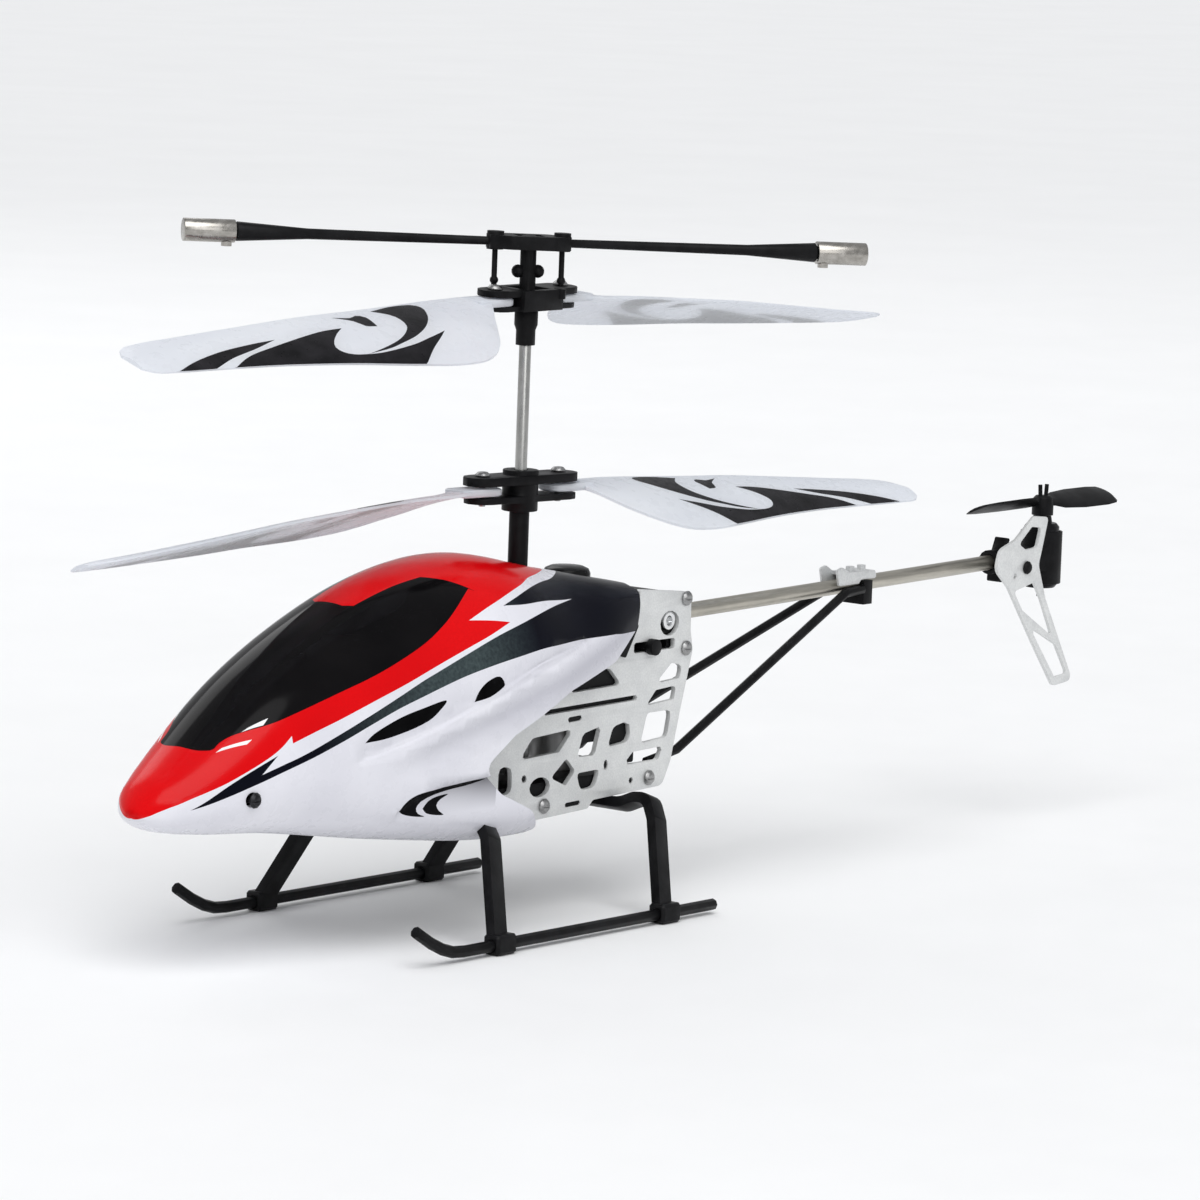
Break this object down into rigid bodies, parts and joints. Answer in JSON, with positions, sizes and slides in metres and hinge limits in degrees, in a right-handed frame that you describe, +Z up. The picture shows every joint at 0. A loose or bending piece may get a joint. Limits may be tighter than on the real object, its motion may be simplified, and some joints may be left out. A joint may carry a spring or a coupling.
{
  "type": "remote control helicopter",
  "caption": "Small coaxial remote control helicopter with contra-rotating folding blades, weighted flybar, geared motors, skids, braced tail boom and lifting tail rotor.",
  "frame": {"origin": "on the ground below the middle of the bounding box", "axes": "+X towards the tail, -X towards the nose, +Y to the starboard side, +Z up along the rotor mast"},
  "size_m": [0.2398, 0.0644, 0.1023],
  "materials": {
    "canopy": "sprayed gloss white with red and navy bands",
    "windscreen": "smoked gloss",
    "side_plates": "satin silver sheet",
    "black_plastic": "moulded black",
    "boom": "polished tube",
    "tail_motor": "black can",
    "motor_cans": "plated",
    "steel": "polished",
    "pinions": "moulded nylon",
    "blades": "milky white film with a printed swoosh",
    "board": "green board",
    "cell": "silver wrap"
  },
  "bodies": {
    "airframe": {"canopy_shell": "canopy", "windscreen": "windscreen", "canopy_screw_left": "steel", "canopy_screw_right": "steel", "battery_tray": "black_plastic", "battery": "cell", "circuit_board": "board", "left_side_frame": "side_plates", "right_side_frame": "side_plates", "upper_bearing_block": "black_plastic", "lower_bearing_block": "black_plastic", "front_motor": "motor_cans", "rear_motor": "motor_cans", "receiver_dome": "black_plastic", "switch_body": "motor_cans", "charging_socket": "steel", "front_strut": "black_plastic", "rear_strut": "black_plastic", "left_skid": "black_plastic", "right_skid": "black_plastic", "tail_boom": "boom", "left_brace_rod": "black_plastic", "right_brace_rod": "black_plastic", "brace_clamp": "black_plastic", "stabilizer_bracket": "side_plates", "tail_motor_mount": "black_plastic", "tail_fin": "side_plates", "tail_motor": "tail_motor", "left_frame_screw_1": "steel", "left_frame_screw_2": "steel", "left_frame_screw_3": "steel", "left_frame_screw_4": "steel", "right_frame_screw_1": "steel", "right_frame_screw_2": "steel", "right_frame_screw_3": "steel", "right_frame_screw_4": "steel"},
    "switch_slider": {"switch_slider": "black_plastic"},
    "front_pinion": {"front_pinion": "pinions"},
    "rear_pinion": {"rear_pinion": "pinions"},
    "lower_rotor": {"outer_mast": "black_plastic", "upper_gear": "black_plastic", "lower_hub": "black_plastic", "lower_blade_screw_a": "steel", "lower_blade_screw_b": "steel"},
    "lower_blade_a": {"lower_blade_a": "blades"},
    "lower_blade_b": {"lower_blade_b": "blades"},
    "upper_rotor": {"inner_shaft": "steel", "lower_gear": "black_plastic", "rotor_head": "black_plastic"},
    "blade_grip": {"blade_grip": "black_plastic", "upper_blade_screw_a": "steel", "upper_blade_screw_b": "steel"},
    "upper_blade_a": {"upper_blade_a": "blades"},
    "upper_blade_b": {"upper_blade_b": "blades"},
    "flybar": {"flybar": "black_plastic", "flybar_weight_a": "steel", "flybar_weight_b": "steel"},
    "link_rod_a": {"link_rod_a": "black_plastic"},
    "link_rod_b": {"link_rod_b": "black_plastic"},
    "tail_rotor": {"tail_rotor": "black_plastic"}
  },
  "joints": [
    {"name": "lower_rotor_spin", "type": "hinge", "parent": "airframe", "child": "lower_rotor", "pos_m": [-0.03585, 0, 0.0629], "axis": [0, 0, 1], "continuous": true},
    {"name": "front_pinion_spin", "type": "hinge", "parent": "airframe", "child": "front_pinion", "pos_m": [-0.04545, 0, 0.0349], "axis": [0, 0, 1], "continuous": true},
    {"name": "upper_rotor_spin", "type": "hinge", "parent": "airframe", "child": "upper_rotor", "pos_m": [-0.03585, 0, 0.0911], "axis": [0, 0, 1], "continuous": true},
    {"name": "rear_pinion_spin", "type": "hinge", "parent": "airframe", "child": "rear_pinion", "pos_m": [-0.02625, 0, 0.031], "axis": [0, 0, 1], "continuous": true},
    {"name": "lower_blade_a_fold", "type": "hinge", "parent": "lower_rotor", "child": "lower_blade_a", "pos_m": [-0.02832, -0.00106, 0.0629], "axis": [0, 0, 1], "range_deg": [-45, 45]},
    {"name": "lower_blade_b_fold", "type": "hinge", "parent": "lower_rotor", "child": "lower_blade_b", "pos_m": [-0.04338, 0.00106, 0.0629], "axis": [0, 0, 1], "range_deg": [-45, 45]},
    {"name": "flybar_teeter", "type": "hinge", "parent": "upper_rotor", "child": "flybar", "pos_m": [-0.03585, 0, 0.0995], "axis": [0.5934, 0.8049, 0], "range_deg": [-8, 8]},
    {"name": "grip_roll", "type": "hinge", "parent": "upper_rotor", "child": "blade_grip", "pos_m": [-0.03585, 0, 0.0911], "axis": [1, 0, 0], "range_deg": [-14, 14]},
    {"name": "link_rod_a_swing", "type": "hinge", "parent": "flybar", "child": "link_rod_a", "pos_m": [-0.03175, -0.00303, 0.0995], "axis": [0.5934, 0.8049, 0], "range_deg": [-8, 8]},
    {"name": "link_rod_b_swing", "type": "hinge", "parent": "flybar", "child": "link_rod_b", "pos_m": [-0.03995, 0.00303, 0.0995], "axis": [0.5934, 0.8049, 0], "range_deg": [-8, 8]},
    {"name": "upper_blade_a_fold", "type": "hinge", "parent": "blade_grip", "child": "upper_blade_a", "pos_m": [-0.02825, 0, 0.0911], "axis": [0, -0.061, 0.9981], "range_deg": [-45, 45]},
    {"name": "upper_blade_b_fold", "type": "hinge", "parent": "blade_grip", "child": "upper_blade_b", "pos_m": [-0.04345, 0, 0.0911], "axis": [0, -0.061, 0.9981], "range_deg": [-45, 45]},
    {"name": "tail_rotor_spin", "type": "hinge", "parent": "airframe", "child": "tail_rotor", "pos_m": [0.10045, 0, 0.0516], "axis": [0, 0, 1], "continuous": true},
    {"name": "switch_slide", "type": "slide", "parent": "airframe", "child": "switch_slider", "axis": [1, 0, 0], "range_m": [0, 0.003]}
  ],
  "couplings": [
    {"joint": "front_pinion_spin", "follows": "lower_rotor_spin", "ratio": -5},
    {"joint": "rear_pinion_spin", "follows": "upper_rotor_spin", "ratio": -5},
    {"joint": "grip_roll", "follows": "flybar_teeter", "ratio": 1.6852},
    {"joint": "link_rod_a_swing", "follows": "flybar_teeter", "ratio": -1},
    {"joint": "link_rod_b_swing", "follows": "flybar_teeter", "ratio": -1}
  ]
}
